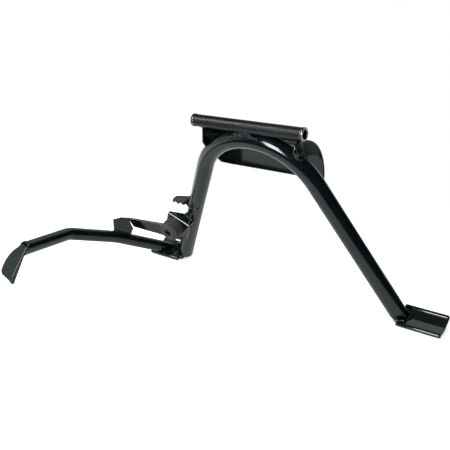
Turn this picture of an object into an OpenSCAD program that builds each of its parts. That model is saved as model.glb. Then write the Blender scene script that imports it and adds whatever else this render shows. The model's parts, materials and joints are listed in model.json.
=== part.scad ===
// Centre stand for a small motorcycle: one bent tube arch hung from a pivot tube,
// with pressed plate feet, a foot lever, a rubber stop and the fixings of its spring.
// X points to the rider's right, Y forward and Z up, all in millimetres.
// The origin is the middle of the pivot axis, and the stand hangs part way down.

/* [Pivot] */
// Bore of the end bushes, for the pivot axle
bore_d = 12.1; // [10:0.1:14]
// Wall of an end bush inside the pivot tube
bush_wall = 0.95; // [0.6:0.05:2]
// Wall of the pivot tube
pivot_wall = 1.25; // [1:0.05:3]
// Length over both end collars
pivot_len = 171; // [160:1:200]
// Step of a collar above the pivot tube
collar_rise = 0.6; // [0.3:0.1:2]
// Thickness of a collar
collar_t = 3.8; // [2:0.1:6]
// Bevel on a collar's outer rim
collar_bevel = 0.6; // [0.2:0.1:0.9]
// Depth that a bush reaches into the pivot tube
bush_grip = 22; // [10:1:40]

/* [Leg tube] */
// Outside diameter of the leg tube
leg_d = 25; // [22:0.5:28]
// Wall of the leg tube
leg_wall = 2.5; // [1.5:0.1:4]
// Centreline radius of the crown bend
crown_r = 99.5; // [92:0.5:106]
// Angle between each leg and the middle line
leg_splay = 26.8; // [24:0.1:30]
// Lean of the legs, feet forward
leg_lean = 21.4; // [16:0.1:26]
// Distance from the crown down to the feet, along the lean
leg_drop = 259.5; // [240:0.5:290]
// Place of the crown on the pivot tube, forward of straight down
crown_bearing = 28; // [20:1:36]
// Root gap that the crown weld fills
weld_root = 0.3; // [0.1:0.1:1]
// Length of the crown weld
weld_len = 34; // [24:1:50]

/* [Feet] */
// Width of a foot plate
foot_w = 41; // [34:0.5:48]
// Length of a foot plate
foot_len = 66.5; // [56:0.5:80]
// Thickness of a foot plate
foot_t = 3.5; // [2.5:0.1:5]
// Angle folded into a foot plate along its middle
foot_fold = 22; // [8:1:34]
// Tilt of a foot plate, rear edge down
foot_tilt = 17; // [10:1:24]
// Reach of a foot plate inward of the leg's middle
foot_tuck = 4.3; // [0:0.1:12]
// Width of a foot plate at its inner end
foot_neck = 29; // [26:0.5:34]
// Length over which a foot plate widens
foot_flare = 22; // [10:1:40]

/* [Cover and cheeks] */
// Inside radius of the curved cover
cover_r = 60; // [56:0.5:64]
// Thickness of the cover
cover_t = 3; // [2:0.1:4]
// Width of the cover
cover_w = 153; // [148:1:158]
// Distance of the cover's curve centre forward of the pivot
cover_y = 17; // [14:0.5:20]
// Distance of the cover's curve centre below the pivot
cover_z = 75; // [72:0.5:78]
// Slope of the flat that joins the cover to the pivot tube
cover_slope = 14; // [11:0.5:17]
// Straight run below the curve
cover_skirt = 2; // [0.5:0.5:10]
// Thickness of a cheek
cheek_t = 3; // [2:0.1:4]
// Distance of a cheek in from the cover's edge
cheek_inset = 1.5; // [0.5:0.1:5]
// Distance of a cheek's rear edge forward of the pivot
cheek_rear = 4; // [2:0.5:7]
// Radius of the hollow in a cheek's lower edge
cheek_hollow_r = 60; // [54:0.5:62]

/* [Spring hook and anchor] */
// Diameter of the hook's rod
hook_d = 4.5; // [3.5:0.1:5]
// Centreline radius of the hook
hook_r = 8; // [7:0.1:9]
// Turn of the hook's eye, in degrees
hook_sweep = 290; // [240:1:300]
// Length of the hook's straight shank
hook_shank = 14; // [8:0.5:20]
// Thickness of the anchor tab
anchor_t = 3.5; // [2:0.1:6]
// Place of the anchor tab down the leg
anchor_at = 88; // [80:1:98]
// Reach of the anchor tab past the leg's middle
anchor_reach = 39; // [30:0.5:46]
// Height of the anchor tab at the leg
anchor_root = 25.5; // [20:0.5:28]
// Radius of the notches in the anchor tab
anchor_notch_r = 3.1; // [2:0.1:3.8]
// Spacing of those notches
anchor_pitch = 10.2; // [8.6:0.1:11]

/* [Foot lever] */
// Outside diameter of the lever tube
lever_d = 20; // [17:0.5:24]
// Wall of the lever tube
lever_wall = 2; // [1.5:0.1:3]
// Place of the lever on the left foot, outward of the leg
lever_out = 43; // [36:0.5:48]
// Place of the lever on the left foot, behind its fold
lever_back = 12.4; // [9:0.1:15]
// Height of the lever's middle above the foot plate, at its foot
lever_seat = 9.1; // [7:0.1:11]
// Length of the lever's rising run
rise_len = 89; // [80:1:100]
// Length of the lever's middle run
reach_len = 82; // [70:1:95]
// Length of the lever's run to the pad
end_len = 96; // [80:1:110]
// Heading of the first two runs, outward of straight back
lever_heading = 24; // [20:0.5:28]
// Heading of the last run, inward of straight back
end_heading = 5.4; // [0:0.1:12]
// Climb of the rising run
rise_pitch = 22.5; // [20:0.1:28]
// Climb of the middle run
reach_pitch = 15; // [10:0.1:20]
// Climb of the last run
end_pitch = 4.2; // [0:0.1:10]
// Centreline radius of the lever's elbow
elbow_r = 24; // [20:1:40]
// Centreline radius of the lever's gentle bend
sweep_r = 170; // [120:5:220]

/* [Lever pad] */
// Thickness of the pad
pad_t = 4; // [3:0.1:6]
// Width of the pad
pad_w = 30; // [26:0.5:36]
// Length of the pad below the lever's middle
pad_len = 45; // [40:0.5:54]
// Radius of the pad's outer edge
pad_round = 42; // [38:0.5:48]
// Tilt of the pad from upright, foot of it rearward
pad_tilt = 34.8; // [28:0.1:42]
// Part of the pad on the inner side of the lever's middle
pad_inner = 5; // [3:0.5:8]
// Length of the lip folded on the pad's end
lip_len = 9; // [5:0.5:14]
// Angle of that fold
lip_fold = 49; // [30:1:80]

/* [Lever brace] */
// Thickness of the brace
brace_t = 3; // [2:0.1:4]
// Height of the brace's outer edge above the lever's middle
brace_edge = 30; // [24:0.5:34]
// Height of the brace's fold above the lever's middle
brace_rise = 39; // [32:0.5:42]
// Height of the brace's lower corner above the lever's middle
brace_gap = 22; // [16:0.5:26]
// Place of the brace's upper end down the leg
brace_top_at = 156; // [150:1:162]
// Place of the brace's lower end down the leg
brace_low_at = 194; // [186:1:202]

/* [Rubber stop] */
// Thickness of the stop's bracket
bracket_t = 3.5; // [2.5:0.1:5]
// Width of the bracket
bracket_w = 42; // [36:0.5:46]
// Place of the bracket's shelf down the leg
bracket_at = 118; // [112:0.5:122]
// Distance of the bracket's rear face behind the leg's middle
bracket_back = 25.5; // [24:0.5:30]
// Height of the bracket's upright flange
bracket_drop = 35; // [33:0.5:42]
// Diameter of the rubber
rubber_d = 33; // [28:0.5:36]
// Length of the rubber
rubber_len = 21; // [19:0.5:28]
// Place of the rubber outward of the leg's middle
rubber_out = 16.4; // [15:0.1:18]
// Place of the rubber below the bracket's shelf
rubber_below = 18; // [17.8:0.1:20]
// Diameter of the raised land on the rubber's face
land_d = 24; // [21:0.5:27]
// Height of that land
land_h = 1.2; // [0.5:0.1:2]
// Thread diameter of the stop's bolt
bolt_d = 8; // [6:1:8]
// Diameter of the bolt's head
head_d = 13; // [12:0.5:14]
// Height of the bolt's head
head_h = 8; // [6:0.5:9]
// Key width of the bolt's socket
socket_w = 6; // [4:0.5:7]
// Depth of the rubber's counterbore
head_sink = 9; // [7:0.5:12]
// Clearance round the bolt's shank and head
bolt_clear = 0.2; // [0.1:0.05:0.4]
// Key width of the nut
nut_w = 13; // [10:0.5:13]
// Height of the nut
nut_h = 6.5; // [4:0.5:7]
// Thickness of the washer under the nut
washer_t = 1.6; // [1:0.1:2]
// Diameter of that washer
washer_d = 16; // [14:0.5:16]

/* [Hidden] */
$fn = 72;
paint = "#1b2022";
pivot_paint = "#2a2c2e";
rubber_grey = "#3a3835";
steel = "#8d8f90";
bolt_black = "#2b2b2d";
// Excess that lets a cutter pass a face
over = 1;
// Radius that a bar loses where it is bent, and the length that a run laps its bend
bend_loss = 0.04;
bend_lap = 0.15;
pivot_in_d = bore_d + 2 * bush_wall;
pivot_d = pivot_in_d + 2 * pivot_wall;
collar_d = pivot_d + 2 * collar_rise;
// Crown centreline, seen from the side
crown_gap = pivot_d / 2 + leg_d / 2 + weld_root;
crown_y = crown_gap * sin(crown_bearing);
crown_z = -crown_gap * cos(crown_bearing);
// End of the crown bend, measured in the plane of the legs
arc_x = crown_r * cos(leg_splay);
arc_drop = crown_r * (1 - sin(leg_splay));
apex_rise = crown_r / sin(leg_splay) - crown_r;
// Foot of a leg, on the fold of its plate
foot_x = arc_x + (leg_drop - arc_drop) * tan(leg_splay);
foot_y = crown_y + leg_drop * sin(leg_lean);
foot_z = crown_z - leg_drop * cos(leg_lean);
foot_slope = foot_fold / 2;
// Run of the leg tube past its foot, before it is cut to the plate
leg_tail = 2 * leg_d;
leg_reach = [foot_x + leg_tail * sin(leg_splay), leg_drop + leg_tail * cos(leg_splay)];
// Cover and cheek places
cover_out_r = cover_r + cover_t;
cheek_x = cover_w / 2 - cheek_inset;
hook_x = cheek_x + hook_d / 2;
hook_y = -1;
hook_z = -19.5;
// Path of the lever's middle line, from the foot to the pad
lever_foot = [
  -foot_x - lever_out,
  foot_y - lever_back,
  foot_z - lever_back * tan(foot_tilt - foot_slope) + lever_seat
];
lever_bend = lever_foot + rise_len * heading(lever_heading, rise_pitch);
lever_elbow = lever_bend + reach_len * heading(lever_heading, reach_pitch);
lever_end = lever_elbow + end_len * heading(-end_heading, end_pitch);
lever_path = [lever_foot, lever_bend, lever_elbow, lever_end];
lever_bends = [0, sweep_r, elbow_r, 0];
// Corners of the brace, above the lever's middle line
brace_lap = 4;
brace_fold_at = 24;
brace_low_corner = 33;
brace_crest = 12;
// Stop, in the frame of the left leg
rubber_at = bracket_at + rubber_below;
rubber_face = bracket_back + rubber_len;
head_seat = rubber_face - head_sink;
bracket_front = bracket_back - bracket_t;
bolt_tip = 2;

// Unit vector of a run that goes outward by a and climbs by c
function heading(a, c) = [-sin(a) * cos(c), -cos(a) * cos(c), sin(c)];
function unit(v) = v / norm(v);
// Turn of a path at its point i
function turn(p, i) = acos(unit(p[i] - p[i - 1]) * unit(p[i + 1] - p[i]));
// Length that the bend at point i takes from each run
function set_back(p, r, i) = i == 0 || i == len(p) - 1 ? 0 : r[i] * tan(turn(p, i) / 2);
// Path with both ends moved out by e
function stretched(p, e) = [for (i = [0 : len(p) - 1])
  i == 0 ? p[0] - e * unit(p[1] - p[0])
  : i == len(p) - 1 ? p[i] + e * unit(p[i] - p[i - 1])
  : p[i]];
// Point of the left leg's middle line, at a distance below the crown bend
function on_left_leg(k) = [
  -arc_x - k * sin(leg_splay),
  crown_y + (arc_drop + k * cos(leg_splay)) * sin(leg_lean),
  crown_z - (arc_drop + k * cos(leg_splay)) * cos(leg_lean)
];
// Point above the lever's rising run, d back from its gentle bend
function above_lever(d, up) = lever_bend + d * unit(lever_foot - lever_bend) + [0, 0, up];
// Corner of a flat sheet, in the sheet's own plane
function flat(q, o, ex, ey) = [(q - o) * ex, (q - o) * ey];

module rod(a, b, r) {
  v = b - a;
  translate(a)
    rotate([0, acos(v.z / norm(v)), atan2(v.y, v.x)])
      cylinder(r = r, h = norm(v));
}

module frame_at(o, ex, ez) {
  ey = cross(ez, ex);
  multmatrix([
    [ex.x, ey.x, ez.x, o.x],
    [ex.y, ey.y, ez.y, o.y],
    [ex.z, ey.z, ez.z, o.z],
    [0, 0, 0, 1]
  ]) children();
}

// One bend of a round bar, tangent to the runs on both sides of point i
module bend(p, i, bend_r, r) {
  a = unit(p[i] - p[i - 1]);
  b = unit(p[i + 1] - p[i]);
  inward = unit(b - (a * b) * a);
  start = p[i] - set_back(p, [for (q = p) bend_r], i) * a;
  frame_at(start + bend_r * inward, -inward, cross(-inward, a))
    rotate_extrude(angle = turn(p, i))
      translate([bend_r, 0])
        circle(r = r - bend_loss);
}

// Round bar of radius r along a path with rounded corners
module bent_rod(p, bends, r) {
  for (i = [0 : len(p) - 2]) {
    v = unit(p[i + 1] - p[i]);
    lap = bend_lap * v;
    rod(p[i] + set_back(p, bends, i) * v - lap, p[i + 1] - set_back(p, bends, i + 1) * v + lap, r);
  }
  if (len(p) > 2)
    for (i = [1 : len(p) - 2])
      bend(p, i, bends[i], r);
}

// Flat sheet of thickness t, with its middle plane through the points q
module sheet(q, t) {
  ex = unit(q[1] - q[0]);
  ez = unit(cross(ex, q[2] - q[0]));
  ey = cross(ez, ex);
  frame_at(q[0], ex, ez)
    translate([0, 0, -t / 2])
      linear_extrude(t)
        polygon([for (c = q) flat(c, q[0], ex, ey)]);
}

// The plane of the legs, with its origin at the crown
module in_leg_plane() {
  translate([0, crown_y, crown_z]) rotate([leg_lean, 0, 0]) children();
}

// The left leg's own frame: x outward, y rearward, z up along the leg
module on_left() {
  in_leg_plane()
    translate([-arc_x, 0, -arc_drop])
      rotate([0, leg_splay, 0])
        rotate([0, 0, 180])
          children();
}

module both_sides(side) {
  if (side > 0) children();
  else mirror([1, 0, 0]) children();
}

module leg_bar(r) {
  in_leg_plane()
    bent_rod([
      [-leg_reach.x, 0, -leg_reach.y],
      [0, 0, apex_rise],
      [leg_reach.x, 0, -leg_reach.y]
    ], [0, crown_r, 0], r);
}

// Everything below the upper face of the foot plates
module foot_bed() {
  span = 3 * foot_w;
  side = 2 * (foot_x + foot_len);
  translate([-side / 2, foot_y, foot_z])
    rotate([foot_tilt, 0, 0])
      rotate([90, 0, 90])
        linear_extrude(side)
          polygon([
            [-span, span * tan(foot_slope)],
            [0, 0],
            [span, span * tan(foot_slope)],
            [span, -span],
            [-span, -span]
          ]);
}

module leg_tube() {
  color(paint)
    difference() {
      leg_bar(leg_d / 2);
      leg_bar(leg_d / 2 - leg_wall);
      foot_bed();
    }
}

module pivot_bar(r) {
  rotate([0, 90, 0]) cylinder(r = r, h = pivot_len - 2 * collar_t, center = true);
}

module pivot_tube() {
  color(pivot_paint)
    difference() {
      pivot_bar(pivot_d / 2);
      rotate([0, 90, 0]) cylinder(d = pivot_in_d, h = pivot_len, center = true);
    }
}

// Flanged bush, turned as one piece round the pivot axis
module pivot_bush(side) {
  shoulder = pivot_len / 2 - collar_t;
  color(steel)
    both_sides(side)
      rotate([90, 0, 90])
        rotate_extrude()
          polygon([
            [bore_d / 2, shoulder - bush_grip],
            [pivot_in_d / 2, shoulder - bush_grip],
            [pivot_in_d / 2, shoulder],
            [collar_d / 2 - collar_bevel, shoulder],
            [collar_d / 2, shoulder + collar_bevel],
            [collar_d / 2, pivot_len / 2 - collar_bevel],
            [collar_d / 2 - collar_bevel, pivot_len / 2],
            [bore_d / 2, pivot_len / 2]
          ]);
}

// Weld metal in both valleys between the pivot tube and the crown
module crown_weld() {
  leg_r = leg_d / 2;
  pivot_r = pivot_d / 2;
  pivot_toe = [pivot_r * sin(43), pivot_r * cos(43)];
  leg_toe = [leg_r * 0.6, crown_gap - leg_r * 0.8];
  color(pivot_paint)
    difference() {
      rotate([90 - crown_bearing + 90, 0, 0])
        rotate([0, 90, 0])
          rotate([0, 0, 90])
            linear_extrude(weld_len, center = true)
              polygon([
                [-pivot_toe.x, pivot_toe.y],
                [-leg_toe.x, leg_toe.y],
                leg_toe,
                pivot_toe
              ]);
      rotate([0, 90, 0]) cylinder(r = pivot_r, h = 2 * weld_len, center = true);
      leg_bar(leg_r);
      cover_sheet();
    }
}

// Side outline of the cover and of the cheeks under it, out to radius r
module hood_outline(r) {
  translate([cover_y, -cover_z]) circle(r = r);
  translate([cover_y, -cover_z])
    rotate(-cover_slope)
      translate([-r, -r])
        square([r, 2 * r]);
}

// The cover before it is notched round the tubes
module cover_sheet() {
  rotate([90, 0, 90])
    linear_extrude(cover_w, center = true)
      intersection() {
        difference() {
          hood_outline(cover_out_r);
          hood_outline(cover_r);
        }
        translate([0, -cover_z - cover_skirt])
          square([2 * cover_out_r, cover_z + cover_skirt]);
      }
}

module cross_plate() {
  color(paint)
    difference() {
      cover_sheet();
      rotate([0, 90, 0]) cylinder(d = pivot_d, h = pivot_len, center = true);
      leg_bar(leg_d / 2);
    }
}

module cheek(side) {
  base_z = -cover_z - cover_skirt;
  knee = [cheek_rear, -31];
  heel = [cheek_rear + 14, -46];
  hollow = [33, -95];
  low_edge = side > 0 ? [cheek_rear + 26, base_z] : [47, base_z + 10];
  color(paint)
    difference() {
      both_sides(side)
        translate([cheek_x - cheek_t, 0, 0])
          rotate([90, 0, 90])
            linear_extrude(cheek_t)
              difference() {
                intersection() {
                  hood_outline(cover_r);
                  polygon([
                    [cheek_rear, 0],
                    knee,
                    heel,
                    low_edge,
                    [cover_y + cover_r, base_z],
                    [2 * cover_r, base_z],
                    [2 * cover_r, 0]
                  ]);
                }
                if (side > 0) translate(hollow) circle(r = cheek_hollow_r);
              }
      rotate([0, 90, 0]) cylinder(d = pivot_d, h = pivot_len, center = true);
      leg_bar(leg_d / 2);
    }
}

// Full width of a foot plate: two flats folded at the middle, with rounded edges
module foot_strip() {
  half = foot_w / 2 - foot_t / 2;
  rise = half * tan(foot_slope);
  edge = foot_t * [sin(foot_slope), -cos(foot_slope)];
  linear_extrude(foot_len)
    polygon([
      [0, 0],
      [half, rise],
      [half + edge.x, rise + edge.y],
      [0, -foot_t / cos(foot_slope)],
      [-half - edge.x, rise + edge.y],
      [-half, rise]
    ]);
  for (s = [-1, 1])
    translate([s * (half + edge.x / 2), rise + edge.y / 2, 0])
      cylinder(d = foot_t - 2 * bend_loss, h = foot_len);
}

module foot(side) {
  inner = foot_x - foot_tuck;
  color(paint)
    both_sides(side)
      intersection() {
        translate([inner, foot_y, foot_z])
          rotate([foot_tilt, 0, 0])
            rotate([90, 0, 90])
              foot_strip();
        translate([inner, foot_y, foot_z])
          rotate([foot_tilt, 0, 0])
            translate([0, 0, -foot_w])
              linear_extrude(2 * foot_w)
                polygon([
                  [-over, -foot_neck / 2],
                  [foot_flare, -foot_w / 2 - over],
                  [foot_len + over, -foot_w / 2 - over],
                  [foot_len + over, foot_w / 2 + over],
                  [foot_flare, foot_w / 2 + over],
                  [-over, foot_neck / 2]
                ]);
      }
}

// Open eye of round rod, with its shank laid on the right cheek
module spring_hook() {
  color(paint)
    difference() {
      translate([hook_x, hook_y, hook_z])
        rotate([90, 0, 90]) {
          rotate(-90)
            rotate_extrude(angle = -hook_sweep)
              translate([hook_r, 0])
                circle(d = hook_d);
          translate([0, -hook_r, 0])
            rotate([0, 90, 0])
              cylinder(d = hook_d, h = hook_shank);
        }
      leg_bar(leg_d / 2);
    }
}

// Notched tab on the outer side of the left leg, for the far end of the spring
module spring_anchor() {
  tab_back = 7;
  low_z = -4.8;
  tip_z = -22.4;
  sag = (low_z - tip_z) / (anchor_reach * 0.93);
  first_notch = anchor_reach * 0.83;
  step = anchor_pitch / norm([1, sag]);
  color(paint)
    difference() {
      on_left()
        translate([0, tab_back + anchor_t / 2, -anchor_at])
          rotate([90, 0, 0])
            linear_extrude(anchor_t)
              difference() {
                polygon([
                  [0, low_z + anchor_root],
                  [anchor_reach * 0.88, -5.8],
                  [anchor_reach * 0.98, -12.6],
                  [anchor_reach, -18.5],
                  [anchor_reach * 0.93, tip_z],
                  [0, low_z]
                ]);
                for (i = [0 : 2]) {
                  notch_x = first_notch - i * step;
                  translate([notch_x, low_z - notch_x * sag]) circle(r = anchor_notch_r);
                }
              }
      leg_bar(leg_d / 2);
    }
}

module lever_bar(e, r) {
  bent_rod(stretched(lever_path, e), lever_bends, r);
}

// Everything rearward of the pad's front face
module pad_side() {
  at_pad()
    translate([-2 * pad_len, -2 * pad_len, -pad_t / 2])
      cube([4 * pad_len, 4 * pad_len, 2 * pad_len]);
}

module lever_tube() {
  color(paint)
    difference() {
      lever_bar(lever_d, lever_d / 2);
      lever_bar(lever_d + over, lever_d / 2 - lever_wall);
      foot_bed();
      pad_side();
    }
}

// The pad's own frame: x inward, y up the pad, z out of its rear face
module at_pad() {
  translate(lever_end) rotate([90 - pad_tilt, 0, 0]) children();
}

module lever_pad() {
  outer = pad_inner - pad_w;
  pad_top = 4;
  round_y = 14 - pad_len;
  fold = [-pad_len, 0];
  lip = lip_len * [-cos(lip_fold), -sin(lip_fold)];
  lip_face = pad_t / 2 * [sin(lip_fold), -cos(lip_fold)];
  mitre = pad_t / 2 * tan(lip_fold / 2);
  color(paint)
    at_pad()
      intersection() {
        rotate([90, 0, 90])
          linear_extrude(2 * pad_w, center = true)
            polygon([
              [pad_len, pad_t / 2],
              fold + [mitre, pad_t / 2],
              fold + lip - lip_face,
              fold + lip + lip_face,
              fold + [-mitre, -pad_t / 2],
              [pad_len, -pad_t / 2]
            ]);
        linear_extrude(4 * pad_w, center = true)
          intersection() {
            translate([outer + pad_round, round_y]) circle(r = pad_round);
            polygon([
              [pad_inner, pad_top],
              [pad_inner, -pad_len - lip_len],
              [outer + 9, -pad_len],
              [outer + 5, -pad_len + 1.3],
              [outer - over, -pad_len + 7],
              [outer - over, pad_top]
            ]);
          }
      }
}

// Folded gusset: one flat stands on the lever, the other runs to the leg
module lever_brace() {
  fold_top = above_lever(brace_fold_at, brace_rise);
  fold_low = above_lever(brace_low_corner, brace_gap);
  color(paint)
    difference() {
      union() {
        sheet([
          above_lever(-brace_lap, brace_edge),
          above_lever(brace_crest, brace_edge + 7),
          fold_top,
          fold_low,
          above_lever(brace_fold_at, 0),
          above_lever(-brace_lap, 0)
        ], brace_t);
        sheet([fold_top, on_left_leg(brace_top_at), on_left_leg(brace_low_at), fold_low], brace_t);
      }
      lever_bar(0, lever_d / 2);
      leg_bar(leg_d / 2);
    }
}

// Bent plate behind the left leg: a shelf from the leg, and a flange for the stop
module bumper_bracket() {
  left = bracket_w - 8;
  color(paint)
    difference() {
      on_left()
        difference() {
          intersection() {
            translate([-bracket_w + left, 0, -bracket_at - bracket_drop])
              union() {
                translate([0, bracket_front, 0])
                  cube([bracket_w, bracket_t, bracket_drop]);
                translate([0, 0, bracket_drop - bracket_t])
                  cube([bracket_w, bracket_back, bracket_t]);
              }
            translate([0, 0, -bracket_at - bracket_drop])
              linear_extrude(bracket_drop)
                polygon([
                  [left - bracket_w, 0],
                  [-2.6, 0],
                  [left, bracket_back * 0.8],
                  [left, bracket_back],
                  [left - bracket_w, bracket_back]
                ]);
          }
          translate([rubber_out, 0, -rubber_at])
            rotate([-90, 0, 0])
              cylinder(d = bolt_d + 2 * bolt_clear, h = 2 * bracket_back);
        }
      leg_bar(leg_d / 2);
    }
}

// The stop's own frame: z rearward along the bolt
module at_stop(s) {
  on_left() translate([rubber_out, s, -rubber_at]) rotate([-90, 0, 0]) children();
}

module rubber_bumper() {
  r = rubber_d / 2;
  edge = 1.5;
  color(rubber_grey)
    at_stop(bracket_back)
      rotate_extrude()
        polygon([
          [bolt_d / 2 + bolt_clear, 0],
          [r, 0],
          [r, rubber_len - land_h - edge],
          [r - edge, rubber_len - land_h],
          [land_d / 2 + land_h, rubber_len - land_h],
          [land_d / 2, rubber_len],
          [head_d / 2 + bolt_clear, rubber_len],
          [head_d / 2 + bolt_clear, rubber_len - head_sink],
          [bolt_d / 2 + bolt_clear, rubber_len - head_sink]
        ]);
}

module bumper_bolt() {
  shank = head_seat - bracket_front + washer_t + nut_h + bolt_tip;
  color(bolt_black)
    at_stop(head_seat)
      difference() {
        union() {
          cylinder(d = head_d, h = head_h);
          translate([0, 0, -shank]) cylinder(d = bolt_d, h = shank);
        }
        translate([0, 0, head_h / 2])
          cylinder(d = socket_w / cos(30), h = head_h, $fn = 6);
      }
}

module bumper_washer() {
  color(steel)
    at_stop(bracket_front - washer_t)
      difference() {
        cylinder(d = washer_d, h = washer_t);
        translate([0, 0, -over])
          cylinder(d = bolt_d + 2 * bolt_clear, h = washer_t + 2 * over);
      }
}

module bumper_nut() {
  color(steel)
    at_stop(bracket_front - washer_t - nut_h)
      difference() {
        cylinder(d = nut_w / cos(30), h = nut_h, $fn = 6);
        translate([0, 0, -over]) cylinder(d = bolt_d, h = nut_h + 2 * over);
      }
}

leg_tube();
pivot_tube();
pivot_bush(-1);  // left_pivot_bush
pivot_bush(1);  // right_pivot_bush
crown_weld();
cross_plate();
cheek(-1);  // left_cheek
cheek(1);  // right_cheek
foot(-1);  // left_foot
foot(1);  // right_foot
spring_hook();
spring_anchor();
lever_tube();
lever_pad();
lever_brace();
bumper_bracket();
rubber_bumper();
bumper_bolt();
bumper_washer();
bumper_nut();
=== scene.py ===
# %% [markdown]
# # A motorcycle's centre stand
# The object is a welded steel stand: a bent tube arch under a pivot tube, two plate feet,
# a foot lever and a rubber stop. Its solids come from the CAD model, in metres and in one
# shared frame. This lesson gives them their paint, their softened sheet edges and the weld
# beads that a welder would leave, and then lights and frames them as a catalogue picture.

import json
import math
import random

import bmesh
import bpy
from mathutils import Matrix, Vector


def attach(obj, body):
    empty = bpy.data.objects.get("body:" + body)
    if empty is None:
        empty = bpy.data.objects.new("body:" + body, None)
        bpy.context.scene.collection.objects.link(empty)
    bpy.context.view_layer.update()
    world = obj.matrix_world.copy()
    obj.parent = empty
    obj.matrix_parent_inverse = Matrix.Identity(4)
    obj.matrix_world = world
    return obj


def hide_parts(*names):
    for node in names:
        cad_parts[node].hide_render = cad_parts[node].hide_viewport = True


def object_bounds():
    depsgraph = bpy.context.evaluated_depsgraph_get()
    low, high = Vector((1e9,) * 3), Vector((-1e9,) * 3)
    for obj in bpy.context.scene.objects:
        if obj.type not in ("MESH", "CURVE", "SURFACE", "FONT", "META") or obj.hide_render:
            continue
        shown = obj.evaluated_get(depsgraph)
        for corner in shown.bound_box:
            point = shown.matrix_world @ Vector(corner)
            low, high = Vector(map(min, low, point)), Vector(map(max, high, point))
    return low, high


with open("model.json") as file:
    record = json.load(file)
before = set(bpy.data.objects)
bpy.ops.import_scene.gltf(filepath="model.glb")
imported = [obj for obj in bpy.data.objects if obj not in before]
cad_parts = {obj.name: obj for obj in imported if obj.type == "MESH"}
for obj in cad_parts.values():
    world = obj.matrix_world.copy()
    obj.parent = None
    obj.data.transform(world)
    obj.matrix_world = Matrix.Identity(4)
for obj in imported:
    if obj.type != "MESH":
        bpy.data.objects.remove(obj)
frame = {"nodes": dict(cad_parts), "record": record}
cad_low, cad_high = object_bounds()
MM = 0.001
print("CAD box in mm:", [round(c / MM, 1) for c in (*cad_low, *cad_high)])

# %% [markdown]
# ## The camera
# The picture looks slightly down on the stand from behind and from its right. The place,
# the angles and the lens come from fitting both legs, the crown bend and the pivot axis to
# the picture. With one lens for all of them, the proportions can be judged point by point.

# %% Set the camera
LENS_PX = 602.24
IMAGE_PX = 450
CAMERA_AZIMUTH = 35.324
CAMERA_ELEVATION = 20.229
CAMERA_PLACE = Vector((423.945, -645.537, 149.449)) * MM

lens = bpy.data.cameras.new("camera")
lens.sensor_width = 36
lens.lens = LENS_PX * lens.sensor_width / IMAGE_PX
lens.clip_start = 0.05
camera = bpy.data.objects.new("camera", lens)
camera.location = CAMERA_PLACE
camera.rotation_euler = [
    math.radians(a) for a in (90 - CAMERA_ELEVATION, 0, CAMERA_AZIMUTH)
]
bpy.context.scene.collection.objects.link(camera)
bpy.context.scene.camera = camera
print("lens in mm:", round(lens.lens, 2))

# %% [markdown]
# ## Helpers for the shaders
# A shader is a tree of nodes. One function adds a node with its settings, and fills each
# input with a value or with another node's output. One turns a colour that is read as sRGB
# hex to the linear numbers that light is reckoned in. The third builds a soft band, which
# the room and the floor are made of. The view transform is Standard, so that the white of
# the studio stays plain white.

# %% Write the shader helpers
view = bpy.context.scene.view_settings
view.view_transform = "Standard"


def add(tree, kind, inputs=(), stops=(), **settings):
    """Adds one node, with its settings, inputs and colour stops."""
    node = tree.nodes.new(kind)
    for key, value in settings.items():
        if hasattr(node, key):
            setattr(node, key, value)
        else:
            node.inputs[key].default_value = value
    for socket, source in inputs:
        if isinstance(source, bpy.types.NodeSocket):
            tree.links.new(source, node.inputs[socket])
        else:
            node.inputs[socket].default_value = source
    for i, (share, colour) in enumerate(stops):
        node.color_ramp.elements[i].position = share
        node.color_ramp.elements[i].color = colour
    return node


def linear(code):
    """Turns an sRGB hex colour to the linear numbers that a shader takes."""
    channels = [int(code[i : i + 2], 16) / 255 for i in (1, 3, 5)]
    return (
        *[c / 12.92 if c <= 0.04045 else ((c + 0.055) / 1.055) ** 2.4 for c in channels],
        1.0,
    )


def between(tree, value, low, high, soft):
    """One inside low to high, none outside, with soft edges that wide."""
    sides = []
    for edge, to_min, to_max in ((low, 0.0, 1.0), (high, 1.0, 0.0)):
        side = add(
            tree,
            "ShaderNodeMapRange",
            [
                ("Value", value),
                ("From Min", edge - soft),
                ("From Max", edge + soft),
                ("To Min", to_min),
                ("To Max", to_max),
            ],
            interpolation_type="SMOOTHSTEP",
        )
        sides.append(side.outputs["Result"])
    return add(
        tree, "ShaderNodeMath", [(0, sides[0]), (1, sides[1])], operation="MULTIPLY"
    ).outputs["Value"]


PLAIN_WHITE = linear("#FFFFFF")
print("view transform:", view.view_transform)

# %% [markdown]
# ## The room
# Black gloss shows its surroundings more than its own colour. The room that the paint
# mirrors has a tall white wall on the stand's left, a white sweep beyond the stand, two
# patches high over that sweep, a faint ceiling, and darkness everywhere else. The wall gives
# the grey bands and the dark gives the black between them. A picture of a room could do this
# too, but a few soft patches written by direction are easier to move. Their measures are the
# turn round Z in radians and the height as a share of straight up. The camera sees the bare
# world as plain white, and matt surfaces take an even, weak fill.

# %% Build the world
ROOM_DARK, FILL_POWER = 0.015, 0.2
# Each patch: turn from, turn to and its softness, height from, height to and its softness,
# and its power
PATCHES = {
    "wall_left": (-2.05, -0.62, 0.12, -0.80, 0.50, 0.10, 0.80),
    "high_front": (-3.30, -2.40, 0.20, 0.45, 0.85, 0.10, 0.95),
    "high_front_right": (2.75, 3.30, 0.20, 0.45, 0.85, 0.10, 0.45),
    "sweep_front": (-3.30, -1.75, 0.15, -0.50, 0.28, 0.12, 1.00),
    "sweep_front_right": (2.85, 3.30, 0.15, -0.50, 0.28, 0.12, 1.00),
    "ceiling": (-3.30, 3.30, 0.10, 0.93, 1.20, 0.03, 0.12),
}

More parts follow.
